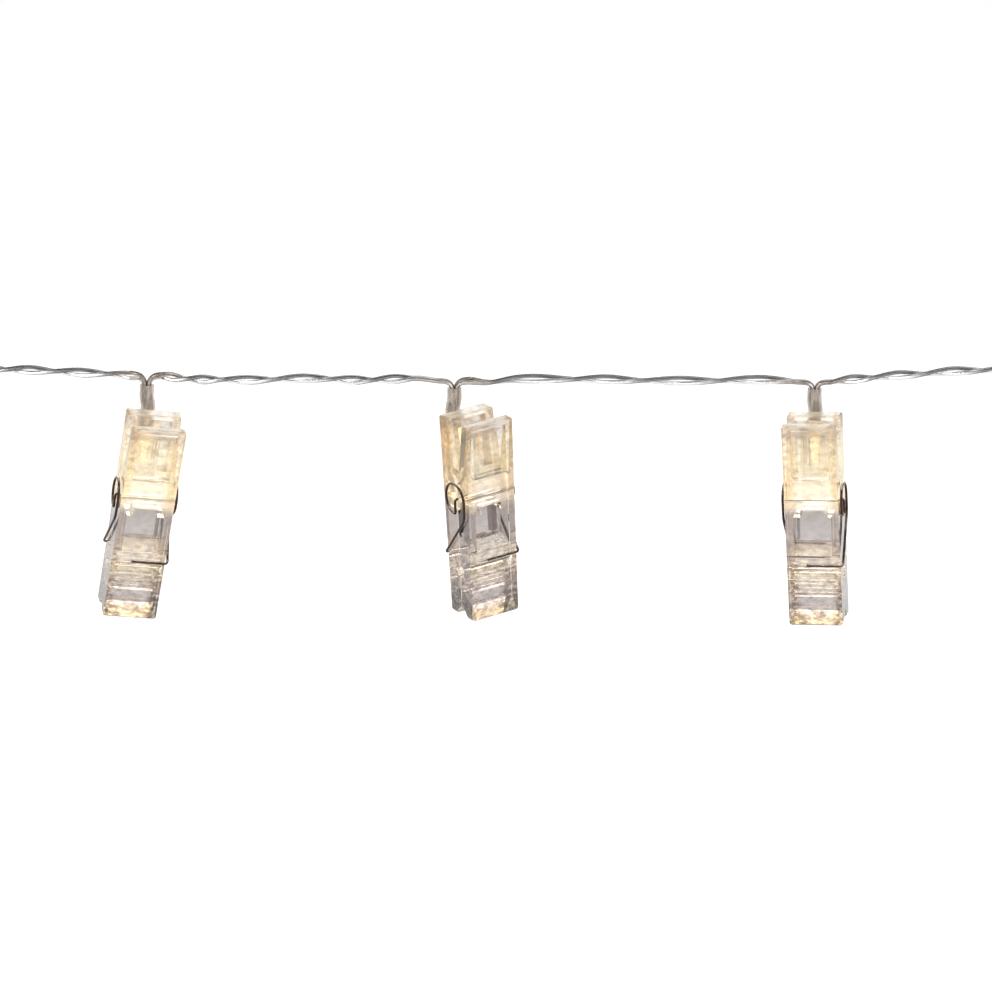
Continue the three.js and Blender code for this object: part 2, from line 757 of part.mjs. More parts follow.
// The route of a conical coil along X, wide at its start
function contactSpringRoute() {
  const steps = contactSpringTurns * turnSteps;
  const height = contactSpringHeight - contactSpringWire;
  return Array.from({ length: steps + 1 }, (_, index) => {
    const share = index / steps;
    const angle = 2 * Math.PI * contactSpringTurns * share;
    const radius = THREE.MathUtils.lerp(contactSpringWide, contactSpringNarrow, share);
    const along = contactSpringWire / 2 + height * share;
    return new THREE.Vector3(along, radius * Math.cos(angle), radius * Math.sin(angle));
  });
}

function contactSpring() {
  return tube(contactSpringRoute(), contactSpringWire / 2, turnSides);
}

// Cells in series, each turned end for end against its neighbour
function cellsAndContacts() {
  const made = [];
  const rightPlate = cellStart + cellRoom - gap - contactThickness;
  const leftPlate = cellStart + gap;
  for (let index = 0; index < cellCount; index++) {
    const height = (index - (cellCount - 1) / 2) * cellPitch;
    const nubLeft = index % 2 === 0;
    const battery = piece("battery_" + (index + 1), cell(), cellSkin);
    const spring = piece("contact_spring_" + (index + 1), contactSpring(), contactMetal);
    if (nubLeft) {
      battery.rotation.y = Math.PI;
      battery.position.set(cellStart + contactRoom + cellLength, cellDepth, height);
      spring.rotation.z = Math.PI;
      spring.position.set(rightPlate - gap, cellDepth, height);
    } else {
      battery.position.set(cellStart + cellRoom - contactRoom - cellLength, cellDepth, height);
      spring.position.set(leftPlate + contactThickness + gap, cellDepth, height);
    }
    made.push(battery, spring);
  }
  const half = cellRadius - contactMargin;
  const bottomCell = (-(cellCount - 1) / 2) * cellPitch;
  const plates = [
    { along: leftPlate, low: bottomCell, high: bottomCell },
    { along: leftPlate, low: bottomCell + cellPitch, high: -bottomCell },
    { along: rightPlate, low: bottomCell, high: bottomCell + cellPitch },
    { along: rightPlate, low: -bottomCell, high: -bottomCell },
  ];
  plates.forEach((plate, index) => {
    const low = [plate.along, cellDepth - half, plate.low - half];
    const high = [plate.along + contactThickness, cellDepth + half, plate.high + half];
    made.push(piece("contact_plate_" + (index + 1), block(low, high), contactMetal));
  });
  return made;
}

// The switch stands on the board behind the front panel, and its knob slides up through the panel's slot
function switchPieces() {
  const bodyBack = boardBack - gap;
  const bodyFront = bodyBack - switchBodyDepth;
  const board = block(
    [boxWall + boardMargin, boardBack, -boardHeight / 2],
    [boxWall + switchBayLength - boardMargin, boardBack + boardThickness, boardHeight / 2]);
  const body = block(
    [bayMiddle - switchBodyWidth / 2, bodyFront, -switchBodyHeight / 2],
    [bayMiddle + switchBodyWidth / 2, bodyBack, switchBodyHeight / 2]);
  const down = -switchTravel / 2;
  const stem = block(
    [bayMiddle - knobStemWidth / 2, boxFront - gap - knobProud / 2, down - knobStemHeight / 2],
    [bayMiddle + knobStemWidth / 2, bodyFront - gap, down + knobStemHeight / 2]);
  const head = block(
    [bayMiddle - knobWidth / 2, boxFront - gap - knobProud, down - knobHeight / 2],
    [bayMiddle + knobWidth / 2, boxFront - gap, down + knobHeight / 2]);
  return [
    piece("timer_board", board, boardResin),
    piece("switch_body", body, darkPlastic),
    piece("switch_knob", stem.add(head), darkPlastic),
  ];
}

// The tapered strain relief, with a neck through the wall and a rim on each side of it
function grommet() {
  const rimStart = boxWall + gap;
  const profile = [
    new THREE.Vector2(0, -grommetLength),
    new THREE.Vector2(grommetTipRadius, -grommetLength),
    new THREE.Vector2(grommetBaseRadius, -gap),
    new THREE.Vector2(grommetNeckRadius, -gap),
    new THREE.Vector2(grommetNeckRadius, rimStart),
    new THREE.Vector2(grommetBaseRadius, rimStart),
    new THREE.Vector2(grommetBaseRadius, rimStart + grommetRim),
    new THREE.Vector2(0, rimStart + grommetRim),
  ];
  return new THREE.LatheGeometry(profile, roundSides / 2).rotateZ(-Math.PI / 2);
}

function innerWires() {
  const start = boxWall + grommetRim + 2 * gap;
  const bend = innerWireBend;
  const entry = new THREE.Vector3(start, 0, 0);
  const route = [
    new THREE.Vector3(start + bend / 4, 0, 0),
    new THREE.Vector3(start + bend, 0, -bend),
    new THREE.Vector3(start + bend, 0, -innerWireDrop + 2 * bend),
    new THREE.Vector3(start + 2 * bend, boardBack - 2 * bend, -innerWireDrop),
    new THREE.Vector3(start + 2 * bend, boardBack - gap, -innerWireDrop),
  ];
  return tube([entry, ...smooth(route, innerWireSteps)], innerWireRadius, wireSides);
}

function batteryBox() {
  const box = new THREE.Group();
  box.position.set(boxAlong, 0, boxLevel);
  box.add(
    piece("battery_case", batteryCase(), boxPlastic),
    piece("battery_lid", batteryLid(), boxPlastic),
    ...cellsAndContacts(),
    ...switchPieces(),
    piece("lead_grommet", grommet(), clearSleeve),
    piece("inner_wires", innerWires(), clearWire),
  );
  return box;
}

const string = new THREE.Group();
clipPlaces.forEach((place, index) => string.add(clip(index + 1, place)));
string.add(...cord(), batteryBox());

const woundWires = [
  ["rear spring half", rearSpringRoute(), springWire],
  ["front spring half", frontSpringRoute(), springWire],
  ["contact spring", contactSpringRoute(), contactSpringWire],
];
for (const [name, route, wire] of woundWires) {
  console.log(name + ", least gap to itself: " + leastGap(route, wire).toFixed(2) + " mm");
}

export default string;
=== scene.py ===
# The looks of a string of clip lights: three clear clips on a twisted cord, its end loop and its battery box.
import math

import bpy
from mathutils import Euler, Matrix, Vector


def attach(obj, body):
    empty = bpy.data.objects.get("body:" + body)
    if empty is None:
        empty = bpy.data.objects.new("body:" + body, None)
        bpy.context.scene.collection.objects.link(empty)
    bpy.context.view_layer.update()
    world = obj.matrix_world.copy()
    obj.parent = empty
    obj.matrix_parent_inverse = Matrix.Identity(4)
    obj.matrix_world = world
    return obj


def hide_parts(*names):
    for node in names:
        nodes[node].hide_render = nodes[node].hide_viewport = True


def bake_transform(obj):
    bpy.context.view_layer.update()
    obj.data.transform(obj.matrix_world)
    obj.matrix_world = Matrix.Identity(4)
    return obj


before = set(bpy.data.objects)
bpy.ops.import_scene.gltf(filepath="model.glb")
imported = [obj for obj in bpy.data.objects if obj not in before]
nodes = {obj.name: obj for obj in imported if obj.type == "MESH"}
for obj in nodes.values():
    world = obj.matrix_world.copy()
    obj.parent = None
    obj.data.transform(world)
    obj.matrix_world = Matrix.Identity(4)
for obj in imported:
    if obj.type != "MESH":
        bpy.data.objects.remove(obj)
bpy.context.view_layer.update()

MM = 0.001
WHITE = (1.0, 1.0, 1.0)
DEPTH_AXIS = Vector((0, 1, 0))

# Camera: 14 degrees above level, far enough to flatten the perspective
CAMERA_ELEVATION = math.radians(14)
CAMERA_DISTANCE = 2.0
CAMERA_AIM = Vector((0.141, 0, -0.033495))
VIEW_WIDTH = 0.248
SENSOR_WIDTH = 36

camera_data = bpy.data.cameras.new("camera")
camera_data.sensor_width = SENSOR_WIDTH
camera_data.lens = SENSOR_WIDTH * CAMERA_DISTANCE / VIEW_WIDTH
camera = bpy.data.objects.new("camera", camera_data)
offset = Vector((0, -math.cos(CAMERA_ELEVATION), math.sin(CAMERA_ELEVATION)))
camera.location = CAMERA_AIM + CAMERA_DISTANCE * offset
camera.rotation_euler = (math.pi / 2 - CAMERA_ELEVATION, 0, 0)
bpy.context.scene.collection.objects.link(camera)
bpy.context.scene.camera = camera
bpy.context.scene.view_settings.view_transform = "Standard"

# Cord: its wires lie PAIR_TOUCHING from its middle where they cross, and PAIR_OPEN halfway between crossings
WIRE_RADIUS = 0.58 * MM
CORE_RADIUS = 0.3 * MM
PAIR_TOUCHING = 0.58 * MM
PAIR_OPEN = 0.72 * MM
WIRE_SIDES = 12
CORE_SIDES = 8
STEP = 0.5 * MM

# The places of the clips on the cord in millimetres and their turns in degrees, as in the solids
CLIPS = {
    1: {"along": 54, "level": -2.6, "sleeve_top": 2.3, "drop": 8.4, "shift": 0.209,
        "turn": (10.4, 9.4, 10.2)},
    2: {"along": 130.6, "level": -3.9, "sleeve_top": 1.8, "drop": 7.52, "shift": -0.456,
        "turn": (8.3, -2.4, 32.3)},
    3: {"along": 220.4, "level": -4.2, "sleeve_top": 1.6, "drop": 7.92, "shift": 0.323,
        "turn": (3.4, -2.8, -11)},
}
TAIL_REACH = 4 * MM
END_GAP = 0.15 * MM
CORD_START = TAIL_REACH + END_GAP
COLUMN_DEPTH = 10.4 * MM
COLUMN_SHIFT = -0.6 * MM
COLUMN_TOP = 17 * MM
SLEEVE_STRAIGHT = 2 * MM

# The cord's route between them, along it and up, in metres
LEFT_ROUTE = [
    (0.0148, -0.00045), (0.017, -0.0009), (0.0235, -0.0011), (0.03, -0.0014), (0.037, -0.0018),
    (0.0435, -0.0021), (0.047, -0.0023),
]
FIRST_ROUTE = [
    (0.061, -0.0031), (0.065, -0.0035), (0.0718, -0.0036), (0.0795, -0.0037), (0.085, -0.0036),
    (0.092, -0.0033), (0.0995, -0.0034), (0.1045, -0.0037), (0.11, -0.0037), (0.117, -0.0034),
    (0.122, -0.0033),
]
SECOND_ROUTE = [
    (0.139, -0.0043), (0.1458, -0.0035), (0.152, -0.0034), (0.1595, -0.0035), (0.167, -0.0035),
    (0.176, -0.0038), (0.1875, -0.0039), (0.1955, -0.0039), (0.202, -0.0037), (0.2095, -0.0037),
    (0.213, -0.0039),
]
LEAD_ROUTE = [
    (0.2282, -0.0037), (0.234, -0.0032), (0.241, -0.0025), (0.247, -0.0022), (0.2545, -0.0015),
    (0.261, -0.0013), (0.265, -0.0011), (0.2697, -0.0008),
]
LOOP_ROUTE = [
    (0.0081, 0.00125), (0.007, 0.00145), (0.005, 0.0024), (0.0026, 0.0038), (-0.0004, 0.0045),
    (-0.0032, 0.0033), (-0.0045, 0), (-0.0032, -0.0033), (-0.0004, -0.0045), (0.0026, -0.0038),
    (0.005, -0.0024), (0.007, -0.00145), (0.0081, -0.00125),
]

# Where the two wires cross as seen from the front, along each stretch
LEFT_CROSSINGS = [0.0183, 0.0303, 0.0435]
FIRST_CROSSINGS = [0.0562, 0.0633, 0.0719, 0.0848, 0.0995, 0.1098]
SECOND_CROSSINGS = [0.139, 0.1595, 0.1763, 0.1955]
LEAD_CROSSINGS = [0.2245, 0.2343, 0.2468, 0.2613]

# Each stretch's route and crossings, and the clips at its left and right ends
STRETCHES = {
    "cord_left_end": (LEFT_ROUTE, LEFT_CROSSINGS, None, 1),
    "cord_span_1_2": (FIRST_ROUTE, FIRST_CROSSINGS, 1, 2),
    "cord_span_2_3": (SECOND_ROUTE, SECOND_CROSSINGS, 2, 3),
    "cord_battery_lead": (LEAD_ROUTE, LEAD_CROSSINGS, 3, None),
}

# Lines and meshes
CURVE_PARTS = 24
SHORTEST = 1e-9
CREASE_ANGLE = math.radians(40)


def catmull_rom(points, step):
    """Points a step apart on the smooth curve through the given ones."""
    ends = [2 * points[0] - points[1], *points, 2 * points[-1] - points[-2]]
    dense = []
    for before, start, end, after in zip(ends, ends[1:], ends[2:], ends[3:]):
        for part in range(CURVE_PARTS):
            dense.append(centripetal(before, start, end, after, part / CURVE_PARTS))
    dense.append(points[-1].copy())
    return resample(dense, step)


def centripetal(before, start, end, after, share):
    """The point at a share of the way from start to end, on the curve through all four points."""
    times = [0]
    for first, second in ((before, start), (start, end), (end, after)):
        times.append(times[-1] + max((second - first).length, SHORTEST) ** 0.5)
    time = times[1] + (times[2] - times[1]) * share

    def between(first, second, early, late):
        return first * ((late - time) / (late - early)) + second * ((time - early) / (late - early))

    first = between(before, start, times[0], times[1])
    second = between(start, end, times[1], times[2])
    third = between(end, after, times[2], times[3])
    return between(between(first, second, times[0], times[2]),
                   between(second, third, times[1], times[3]), times[1], times[2])


def lengths_along(points):
    """The length of the line up to each of its points."""
    lengths = [0]
    for first, second in zip(points, points[1:]):
        lengths.append(lengths[-1] + (second - first).length)
    return lengths


def resample(points, step):
    """The same line with its points evenly a step apart."""
    lengths = lengths_along(points)
    count = max(round(lengths[-1] / step), 2)
    result = []
    index = 0
    for number in range(count + 1):
        target = lengths[-1] * number / count
        while index < len(points) - 2 and lengths[index + 1] < target:
            index += 1
        span = lengths[index + 1] - lengths[index] or 1
        result.append(points[index].lerp(points[index + 1], min((target - lengths[index]) / span, 1)))
    return result


def tangents(points):
    last = len(points) - 1
    return [(points[min(i + 1, last)] - points[max(i - 1, 0)]).normalized() for i in range(last + 1)]


def interpolate(places, values, at):
    """A value between given places, held past the ends."""
    if at <= places[0]:
        return values[0]
    for first, second, low, high in zip(places, places[1:], values, values[1:]):
        if at <= second:
            return low + (high - low) * (at - first) / (second - first)
    return values[-1]


def smooth(share):
    return share * share * (3 - 2 * share)


def new_object(name, data):
    made = bpy.data.objects.new(name, data)
    bpy.context.scene.collection.objects.link(made)
    return made


def mesh_object(name, vertices, faces, material):
    mesh = bpy.data.meshes.new(name)
    mesh.from_pydata([tuple(v) for v in vertices], [], [tuple(f) for f in faces])
    mesh.update()
    mesh.shade_smooth()
    mesh.set_sharp_from_angle(angle=CREASE_ANGLE)
    mesh.materials.append(material)
    return new_object(name, mesh)


def angles_round(sides):
    return [2 * math.pi * side / sides for side in range(sides)]


def join_rings(first, second, faces):
    for side, corner in enumerate(first):
        after = (side + 1) % len(first)
        faces.append((corner, first[after], second[after], second[side]))


def tube_faces(points, radius, sides, vertices, faces, wall=0):
    """Adds a closed tube round a line of points, which is hollow if it has a wall.

    The radius may be a function of the share of the way along the line.
    """
    lines = tangents(points)
    normal = lines[0].orthogonal().normalized()
    rings = []
    for index, (point, line) in enumerate(zip(points, lines)):
        normal = (normal - line * normal.dot(line)).normalized()
        across = line.cross(normal)
        here = radius(index / (len(points) - 1)) if callable(radius) else radius
        for layer in ((here, here - wall) if wall else (here,)):
            start = len(vertices)
            for angle in angles_round(sides):
                vertices.append(point + layer * (math.cos(angle) * normal + math.sin(angle) * across))
            rings.append(range(start, len(vertices)))
    layers = 2 if wall else 1
    for first, second in zip(rings[::layers], rings[layers::layers]):
        join_rings(first, second, faces)
    if not wall:
        faces.append(rings[0][::-1])
        faces.append(rings[-1])
        return
    for first, second in zip(rings[1::2], rings[3::2]):
        join_rings(second, first, faces)
    join_rings(rings[1], rings[0], faces)
    join_rings(rings[-2], rings[-1], faces)


def tube_object(name, lines, radius, sides, material, wall=0):
    vertices, faces = [], []
    for line in lines:
        tube_faces(line, radius, sides, vertices, faces, wall)
    return mesh_object(name, vertices, faces, material)


def lathe(name, profile, sides, matrix, material):
    """A closed turned piece from a profile of radius and height that starts and ends on the axis."""
    vertices, faces, rings = [], [], []
    for radius, height in profile:
        start = len(vertices)
        for angle in angles_round(sides if radius else 1):
            vertices.append(matrix @ Vector((radius * math.cos(angle), radius * math.sin(angle), height)))
        rings.append(range(start, len(vertices)))
    for first, second in zip(rings, rings[1:]):
        if len(first) == len(second):
            join_rings(first, second, faces)
            continue
        for side in range(sides):
            after = (side + 1) % sides
            if len(first) == 1:
                faces.append((first[0], second[after], second[side]))
            else:
                faces.append((first[side], first[after], second[0]))
    return mesh_object(name, vertices, faces, material)


# Materials
class NodeTree:
    """A node tree with short ways to add nodes and join them up."""

    def __init__(self, tree):
        self.tree = tree

    def fill(self, socket, value):
        """Links a node's output to a socket, or sets the socket to a plain value."""
        if isinstance(value, bpy.types.NodeSocket):
            self.tree.links.new(value, socket)
            return
        if isinstance(value, tuple) and len(value) == 3 and len(socket.default_value) == 4:
            value = (*value, 1)
        socket.default_value = value

    def node(self, kind, inputs=None, **settings):
        node = self.tree.nodes.new(kind)
        for key, value in settings.items():
            setattr(node, key, value)
        for key, value in (inputs or {}).items():
            self.fill(node.inputs[key], value)
        return node

    def coordinates(self, kind):
        return self.node("ShaderNodeTexCoord").outputs[kind]

    def axis(self, vector, letter):
        return self.node("ShaderNodeSeparateXYZ", {"Vector": vector}).outputs[letter]

    def math(self, operation, first, second=0.0):
        return self.node("ShaderNodeMath", {0: first, 1: second}, operation=operation).outputs[0]

    def share(self, value, start, end):
        """How far a value has come on the way from start to end: 0 at the start and 1 at the end."""
        return self.math("DIVIDE", self.math("SUBTRACT", value, start), end - start)

    def map_range(self, value, low, high, start=0.0, end=1.0):
        inputs = {"Value": value, "From Min": start, "From Max": end, "To Min": low, "To Max": high}
        return self.node("ShaderNodeMapRange", inputs).outputs["Result"]


class Shader(NodeTree):
    """A material's node tree round its Principled shader."""

    def __init__(self, name, **values):
        self.material = bpy.data.materials.new(name)
        self.material.use_nodes = True
        super().__init__(self.material.node_tree)
        self.main = self.tree.nodes["Principled BSDF"]
        self.put(**values)

    def put(self, **values):
        """Fills inputs of the Principled shader, named with _ in place of their spaces."""
        for key, value in values.items():
            self.fill(self.main.inputs[key.replace("_", " ")], value)

    def scaled_place(self, place, scale):
        return self.node("ShaderNodeMapping", {"Vector": place, "Scale": scale}).outputs["Vector"]

    def noise(self, scale, detail, place=None):
        inputs = {"Vector": place or self.coordinates("Object"), "Scale": scale, "Detail": detail}
        return self.node("ShaderNodeTexNoise", inputs).outputs["Fac"]

    def wander(self, noise, reach):
        """A noise moved to lie round 0, with the given reach from its least to its greatest value."""
        return self.math("MULTIPLY", self.math("SUBTRACT", noise, 0.5), reach)

    def ramp(self, fac, stops):
        node = self.node("ShaderNodeValToRGB", {"Fac": fac})
        elements = node.color_ramp.elements
        while len(elements) < len(stops):
            elements.new(0.5)
        for element, (position, color) in zip(elements, stops):
            element.position = position
            element.color = (*color, 1) if isinstance(color, tuple) else (color, color, color, 1)
        return node.outputs["Color"]

    def fade(self, fac, low, high, start=0.0, end=1.0):
        """Goes from low to high while fac goes from start to end, and holds past them."""
        return self.ramp(fac, [(start, low), (end, high)])

    def mix(self, fac, first, second, blend="MIX"):
        inputs = {0: fac, 6: first, 7: second}
        return self.node("ShaderNodeMix", inputs, data_type="RGBA", blend_type=blend).outputs[2]

    def bump(self, height, distance, strength):
        inputs = {"Height": height, "Distance": distance, "Strength": strength}
        self.put(Normal=self.node("ShaderNodeBump", inputs).outputs["Normal"])


# The scale and detail of each noise
METAL_STREAKS = (900, 3)
MOULDED_CLOUDS = (35, 3)
MOULDED_GLOSS = (240, 4)
CRIMP_PATCHES = (700, 2)
SPRING_STREAKS = (500, 3)
LENS_PATCHES = (900, 1)
WIRE_PATCHES = (700, 2)
SLEEVE_STREAKS = (1900, 2)
HEIGHT_WANDER = (260, 2)
GLINT_SPOTS = (480, 4)
SPARKLE = (1000, 3)
WAVES = (330, 2)
GRAIN_DETAIL = 2

# From which value to which one colour fades into another
NOISE_EDGES = (0.3, 0.7)
CRIMP_EDGES = (0.35, 0.65)
CROSSING_EDGES = (0.3, 0.8)
RIM_EDGES = (0.07, 0.24)
STREAK_EDGES = (0.42, 0.56)
SIDE_EDGES = (0.5, 0.85)

# Colours, and how far shades and roughnesses vary, as factors
LAMP_COLOR = (1.0, 0.87, 0.64)
LENS_COLOR = (1.0, 0.92, 0.76)
LENS_GLOWS = ((1.0, 0.84, 0.58), (1.0, 0.92, 0.72))
SLEEVE_COLOR = (0.97, 0.88, 0.8)
# The spring's dark wire, and its painted highlight where it faces up
SPRING_SHADE_AND_HIGHLIGHT = [(0.0, (0.05, 0.031, 0.025)), (0.5, (0.09, 0.06, 0.048)), (0.85, (0.9, 0.86, 0.82))]
SPRING_STREAK_REACH = 1.4
CLEAR_IOR = 1.49
METAL_SHADE = 0.8
METAL_ROUGHNESS = (0.7, 1.3)
MOULDED_SHADE = 0.95
MOULDED_ROUGHNESS = (0.85, 1.15)
CRIMP_SHADE = 0.85
GRAIN_DEPTH = 0.03 * MM
GRAIN_STRENGTH = 0.35


def scaled(values, factor):
    return tuple(factor * value for value in values)


def steel(name, color, roughness):
    """Metal with fine streaks of shade and gloss."""
    shader = Shader(name, Metallic=1.0)
    streaks = shader.noise(*METAL_STREAKS)
    shader.put(Base_Color=shader.fade(streaks, scaled(color, METAL_SHADE), color, *NOISE_EDGES),
               Roughness=shader.fade(streaks, *scaled(METAL_ROUGHNESS, roughness), *NOISE_EDGES))
    return shader.material


def moulded(name, color, roughness=0.42, grain=1600):
    """Moulded plastic with a fine grain and a little unevenness of colour."""
    shader = Shader(name, Specular_IOR_Level=0.45)
    clouds, gloss = shader.noise(*MOULDED_CLOUDS), shader.noise(*MOULDED_GLOSS)
    shader.put(Base_Color=shader.fade(clouds, scaled(color, MOULDED_SHADE), color, *NOISE_EDGES),
               Roughness=shader.fade(gloss, *scaled(MOULDED_ROUGHNESS, roughness), *NOISE_EDGES))
    shader.bump(shader.noise(grain, GRAIN_DETAIL), GRAIN_DEPTH, GRAIN_STRENGTH)
    return shader.material


def crimp_material():
    """Clear shrunk plastic with darker patches."""
    shader = Shader("shrunk_sleeve", Roughness=0.15, Transmission_Weight=0.85, IOR=CLEAR_IOR)
    darker = scaled(SLEEVE_COLOR, CRIMP_SHADE)
    shader.put(Base_Color=shader.fade(shader.noise(*CRIMP_PATCHES), darker, SLEEVE_COLOR, *CRIMP_EDGES))
    return shader.material


def spring_material():
    """Dark polished wire, with a painted highlight where it faces up and in short streaks."""
    shader = Shader("spring_wire", Metallic=1.0, Roughness=0.14)
    rise = shader.axis(shader.coordinates("Normal"), "Z")
    streaks = shader.wander(shader.noise(*SPRING_STREAKS), SPRING_STREAK_REACH)
    shader.put(Base_Color=shader.ramp(shader.math("ADD", rise, streaks), SPRING_SHADE_AND_HIGHLIGHT))
    return shader.material


def lens_material():
    shader = Shader("lamp_lens", Base_Color=LENS_COLOR, Roughness=0.25, Emission_Strength=1.0)
    shader.put(Emission_Color=shader.fade(shader.noise(*LENS_PATCHES), *LENS_GLOWS, *NOISE_EDGES))
    return shader.material


crimp_plastic = crimp_material()
spring_steel = spring_material()
lamp_lens = lens_material()
box_plastic = moulded("box_plastic", (0.8, 0.8, 0.78))
dark_plastic = moulded("dark_plastic", (0.03, 0.03, 0.032), roughness=0.5)
contact_metal = steel("contact_metal", (0.62, 0.62, 0.63), roughness=0.25)
board_resin = moulded("board_resin", (0.03, 0.12, 0.05), roughness=0.35, grain=900)
cell_skin = moulded("cell_skin", (0.03, 0.16, 0.26), roughness=0.28, grain=300)

# Each wire is dark with painted shade where it runs above the other and bright with painted light below it,
# and warmer near the clips
SKIN_SHADE_AND_LIGHT = {"upper": (0.56, 0.56, 0.57), "lower": (0.84, 0.84, 0.85)}
CORE_SHADE_AND_LIGHT = {"upper": (0.38, 0.38, 0.39), "lower": (0.95, 0.95, 0.95)}
WARM_SKIN_SHADE_AND_LIGHT = {"upper": (0.74, 0.69, 0.66), "lower": (0.9, 0.88, 0.86)}
WARM_CORE_SHADE_AND_LIGHT = {"upper": (0.42, 0.37, 0.34), "lower": (0.95, 0.93, 0.91)}
SKIN_VALUES = {"Roughness": 0.08, "IOR": CLEAR_IOR, "Transmission_Weight": 1.0}
CORE_VALUES = {"Roughness": 0.25, "Metallic": 1.0}
WARM_NEAR = 5 * MM
WARM_FAR = 12 * MM
FAR_AWAY = 1.0
WIRE_PATCH_REACH = 0.5
RIM_SHADE = 0.4


def shade_rim(shader, color):
    """Darkens clear plastic where it is seen edge on, as the bending of light in it does."""
    facing = shader.node("ShaderNodeLayerWeight").outputs["Facing"]
    return shader.mix(1.0, color, shader.fade(facing, 1.0, RIM_SHADE, *RIM_EDGES), "MULTIPLY")


def wire_shader(name, colors, warm_colors, values):
    """The shader of a skin or a core, and its colour, which isn't linked yet."""
    shader = Shader(name, **values)
    lower = shader.node("ShaderNodeAttribute", attribute_name="lower").outputs["Fac"]
    lower = shader.math("ADD", lower, shader.wander(shader.noise(*WIRE_PATCHES), WIRE_PATCH_REACH))
    # painted shade on the wire above and painted light on the wire below
    cool = shader.fade(lower, colors["upper"], colors["lower"], *CROSSING_EDGES)
    warm = shader.fade(lower, warm_colors["upper"], warm_colors["lower"], *CROSSING_EDGES)
    along = shader.axis(shader.coordinates("Object"), "X")
    nearest = FAR_AWAY
    for place in CLIPS.values():
        away = shader.math("ABSOLUTE", shader.math("SUBTRACT", along, place["along"] * MM))
        nearest = shader.math("MINIMUM", away, nearest)
    share = shader.share(nearest, WARM_NEAR, WARM_FAR)
    color = shader.mix(shader.fade(share, 0.0, 1.0), warm, cool)
    return shader, shade_rim(shader, color) if "IOR" in values else color


def cord_material(name, colors, warm_colors, values):
    shader, color = wire_shader(name, colors, warm_colors, values)
    shader.put(Base_Color=color)
    return shader.material


insulation = cord_material("wire_insulation", SKIN_SHADE_AND_LIGHT, WARM_SKIN_SHADE_AND_LIGHT, SKIN_VALUES)
copper = cord_material("tinned_copper", CORE_SHADE_AND_LIGHT, WARM_CORE_SHADE_AND_LIGHT, CORE_VALUES)


# Cord
def strand_lines(centre, angles, spreads):
    """The middle lines of two wires that wind round a centre line in the XZ plane."""
    lines = ([], [])
    for point, line, angle, spread in zip(centre, tangents(centre), angles, spreads):
        up = line.cross(DEPTH_AXIS).normalized()
        offset = spread * (math.cos(angle) * up + math.sin(angle) * DEPTH_AXIS)
        lines[0].append(point + offset)
        lines[1].append(point - offset)
    return lines


def keep_lower_shares(made, angles, sides):
    """Keeps for each ring of the two wires how far it lies below the other wire, from 0 to 1, which sets its
    painted shade and light.
    """
    shares = [(1 - math.cos(angle)) / 2 for angle in angles]
    shares += [(1 + math.cos(angle)) / 2 for angle in angles]
    layer = made.data.attributes.new("lower", "FLOAT", "POINT")
    layer.data.foreach_set("value", [share for share in shares for _ in range(sides)])


def pair_objects(name, lines, angles, materials):
    """Two wires along the given lines, with their skins in one object and their cores in another."""
    skin = tube_object(name, lines, WIRE_RADIUS, WIRE_SIDES, materials[0])
    core = tube_object(name + "_core", lines, CORE_RADIUS, CORE_SIDES, materials[1])
    keep_lower_shares(skin, angles, WIRE_SIDES)
    keep_lower_shares(core, angles, CORE_SIDES)
    return skin, core


def twist(centre, crossings):
    """Each point's angle round the centre line and half the distance between the wires."""
    places = list(crossings)
    places.insert(0, crossings[0] - (crossings[1] - crossings[0]))
    places.append(crossings[-1] + crossings[-1] - crossings[-2])
    turns = [math.pi / 2 + math.pi * index for index in range(-1, len(crossings) + 1)]
    angles = [interpolate(places, turns, point.x) for point in centre]
    spreads = [PAIR_TOUCHING + (PAIR_OPEN - PAIR_TOUCHING) * math.cos(angle) ** 2 for angle in angles]
    return angles, spreads


def clip_end(number, side):
    """Where the cord starts beside a clip, on its left (side -1) or its right (side 1)."""
    place = CLIPS[number]
    return place["along"] * MM + side * CORD_START, place["level"] * MM


def line_along(route):
    return catmull_rom([Vector((along, 0, up)) for along, up in route], STEP)


def add_cord(node_name, lines, angles):
    skin, core = pair_objects(node_name + "_wires", lines, angles, (insulation, copper))
    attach(skin, "root")
    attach(core, "root")
    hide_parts(node_name)


# The wires' angle and spread where the cord meets each side of a clip
end_angles = {}
for node_name, (route, crossings, left_clip, right_clip) in STRETCHES.items():
    places = list(route)
    if left_clip:
        places.insert(0, clip_end(left_clip, 1))
    if right_clip:
        places.append(clip_end(right_clip, -1))
    centre = line_along(places)
    angles, spreads = twist(centre, crossings)
    if left_clip:
        end_angles[left_clip, 1] = (angles[0], spreads[0])
    if right_clip:
        end_angles[right_clip, -1] = (angles[-1], spreads[-1])
    add_cord(node_name, strand_lines(centre, angles, spreads), angles)

# End loop: the pair runs round the eye side by side
LOOP_SPREAD = 0.6 * MM
loop_centre = line_along(LOOP_ROUTE)
loop_lines = [[point + side * LOOP_SPREAD * DEPTH_AXIS for point in loop_centre] for side in (1, -1)]
add_cord("end_loop", loop_lines, [math.pi / 2] * len(loop_centre))


# Clips
def hanging_frame(number):
    """The frame of the cord's middle at a clip."""
    place = CLIPS[number]
    return Matrix.Translation((place["along"] * MM, 0, place["level"] * MM))


